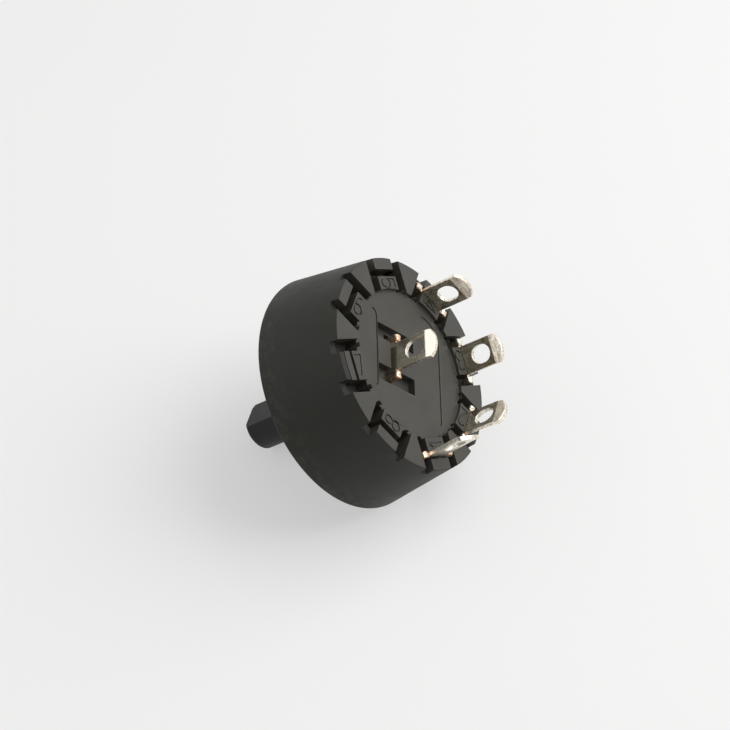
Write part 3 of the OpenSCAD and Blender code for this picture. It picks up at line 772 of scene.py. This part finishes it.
class SWITCH_OT_stage(bpy.types.Operator):
    """Makes the camera, the floor under the resting switch, the lamps and the surroundings"""
    bl_idname = "switch.stage"
    bl_label = "Stage"

    def execute(self, context):
        look = context.scene.switch_stage
        right = self.make_camera(context, look)
        normal, level = resting_plane(right)
        up = Vector(normal)
        far = up.cross(right).normalized()
        across = far.cross(up).normalized()
        centre = up * (level - 0.00002)
        self.make_floor(context, look, centre, across, far)
        self.make_lamp(context, "key_lamp", look.key_power, (0.34, 0.34), centre, up,
                       across * 0.24 + far * 0.06 + up * 0.30)
        self.make_lamp(context, "strip_lamp", look.strip_power, (0.42, 0.16), centre, up,
                       up * 0.215 - across * 0.27 - far * 0.045)
        self.make_world(context, look, across, far, up)
        context.scene.view_settings.view_transform = "Standard"
        return {"FINISHED"}

    def make_camera(self, context, look):
        """Places the camera at a distance from the aim, turned about its own axis; returns its right."""
        back = Vector((math.sin(look.azimuth) * math.cos(look.elevation),
                       -math.cos(look.azimuth) * math.cos(look.elevation), math.sin(look.elevation)))
        level_right = (-back).cross(Vector((0, 0, 1))).normalized()
        level_up = level_right.cross(-back)
        right = math.cos(look.roll) * level_right + math.sin(look.roll) * level_up
        turn = Matrix((right, back.cross(right), back)).transposed()
        camera = bpy.data.cameras.new("camera")
        camera.lens = look.lens
        camera.clip_start = 0.01
        holder = bpy.data.objects.new("camera", camera)
        holder.matrix_world = Matrix.Translation(Vector(look.aim) + back * look.distance) @ turn.to_4x4()
        context.scene.collection.objects.link(holder)
        context.scene.camera = holder
        return right

    def make_floor(self, context, look, centre, across, far):
        """A flat disc: its centre, and rings of radius times (cos a, sin a) in the floor's two directions."""
        angles = np.linspace(0, 2 * np.pi, FLOOR_SIDES, endpoint=False)
        ring = np.outer(np.cos(angles), np.array(across)) + np.outer(np.sin(angles), np.array(far))
        points = np.vstack([np.array(centre)] + [np.array(centre) + r * ring for r in FLOOR_RADII])
        here = np.arange(FLOOR_SIDES)
        there = (here + 1) % FLOOR_SIDES
        faces = np.stack([np.zeros(FLOOR_SIDES, int), 1 + here, 1 + there], 1).tolist()
        for inner in (1, 1 + FLOOR_SIDES):
            outer = inner + FLOOR_SIDES
            faces += np.stack([inner + here, outer + here, outer + there, inner + there], 1).tolist()
        mesh = bpy.data.meshes.new("floor")
        mesh.from_pydata(points.tolist(), [], faces)
        mesh.update()
        floor = bpy.data.objects.new("floor", mesh)
        context.scene.collection.objects.link(floor)
        mesh.materials.append(self.floor_material(look, centre))

    def floor_material(self, look, centre):
        """Matt paper, clear from below; the camera and mirrored rays see white in it, all white far out."""
        material, tree, shader = new_material("floor_paper", {"Specular IOR Level": 0.0, "Roughness": 1.0})
        tone = scaled(tree, noise(tree, object_place(tree), 30, 2), 0.02, 0.99)
        tree.links.new(shaded(tree, (*look.floor_colour, 1), tone), shader.inputs["Base Color"])
        by_camera, mirrored = ray_kinds(tree)
        place = object_place(tree)
        away = add_node(tree, "ShaderNodeVectorMath", {0: place, 1: centre}, operation="DISTANCE")
        whiteness = smooth_step(tree, away.outputs["Value"], *WHITENING, look.paper_share, 1.0)
        share = multiply(tree, math_node(tree, "MAXIMUM", by_camera, mirrored), whiteness)
        white = add_node(tree, "ShaderNodeEmission", {"Color": (0.96, 0.955, 0.955, 1), "Strength": 1.0})
        seen = mix_shader(tree, share, shader.outputs[0], white.outputs[0])
        clear = add_node(tree, "ShaderNodeBsdfTransparent")
        below = add_node(tree, "ShaderNodeNewGeometry").outputs["Backfacing"]
        both = mix_shader(tree, below, seen, clear.outputs[0])
        tree.links.new(both, node_of_kind(tree, "OUTPUT_MATERIAL").inputs["Surface"])
        return material

    def make_lamp(self, context, name, power, size, target, up, offset):
        """A soft lamp at an offset from its target, which it faces, with its width level with the floor."""
        lamp = bpy.data.lights.new(name, "AREA")
        lamp.energy = power
        lamp.shape = "RECTANGLE"
        lamp.size, lamp.size_y = size
        back = offset.normalized()
        right = up.cross(back).normalized()
        turn = Matrix((right, back.cross(right), back)).transposed()
        holder = bpy.data.objects.new(name, lamp)
        holder.matrix_world = Matrix.Translation(target + offset) @ turn.to_4x4()
        context.scene.collection.objects.link(holder)

    def make_world(self, context, look, across, far, up):
        """A pale studio, bright overhead and behind, dim low in front on the left, white to the camera."""
        world = bpy.data.worlds.new("surroundings")
        context.scene.world = world
        world.use_nodes = True
        tree = world.node_tree
        ray = add_node(tree, "ShaderNodeTexCoord").outputs["Generated"]
        behind, above = (
            add_node(tree, "ShaderNodeVectorMath", {0: ray, 1: way}, operation="DOT_PRODUCT").outputs["Value"]
            for way in (across * 0.6 + far * 0.8, up))
        tone = math_node(tree, "MAXIMUM", smooth_step(tree, behind, -0.8, 0.6, look.dim_side, 1.0),
                         smooth_step(tree, above, 0.35, 0.65))
        by_camera, mirrored = ray_kinds(tree)
        lit = multiply(tree, tone, mix_number(tree, mirrored, look.world_strength, 1.0))
        background = node_of_kind(tree, "BACKGROUND")
        background.inputs["Color"].default_value = (0.96, 0.96, 0.96, 1)
        tree.links.new(mix_number(tree, by_camera, lit, 1.0), background.inputs["Strength"])


class SWITCH_PT_panel(bpy.types.Panel):
    """Lists the steps that finish the switch"""
    bl_idname = "SWITCH_PT_panel"
    bl_label = "Switch finish"
    bl_space_type = "VIEW_3D"
    bl_region_type = "UI"
    bl_category = "Switch"

    def draw(self, context):
        for step in STEPS:
            self.layout.operator(step.bl_idname)
        for group in GROUPS:
            box = self.layout.box()
            for name in GROUPS[group].__annotations__:
                box.prop(getattr(context.scene, group), name)


EFFECTS = (make_plastic_grain, make_rolled_plating, make_sheared_edge, make_drawn_metal)
STEPS = (SWITCH_OT_housing, SWITCH_OT_back_plate, SWITCH_OT_rotor, SWITCH_OT_lugs, SWITCH_OT_detent,
         SWITCH_OT_contacts, SWITCH_OT_stage)
GROUPS = {"switch_plastic": SwitchPlastic, "switch_lugs": SwitchLugs, "switch_metals": SwitchMetals,
          "switch_stage": SwitchStage}


def register():
    for kind in (*GROUPS.values(), *STEPS, SWITCH_PT_panel):
        bpy.utils.register_class(kind)
    for name, kind in GROUPS.items():
        setattr(bpy.types.Scene, name, PointerProperty(type=kind))


def unregister():
    for name in GROUPS:
        delattr(bpy.types.Scene, name)
    for kind in reversed((*GROUPS.values(), *STEPS, SWITCH_PT_panel)):
        bpy.utils.unregister_class(kind)


def main():
    register()
    for make in EFFECTS:
        make()
    for step in STEPS:
        space, name = step.bl_idname.split(".")
        getattr(getattr(bpy.ops, space), name)()


if __name__ == "__main__":
    main()
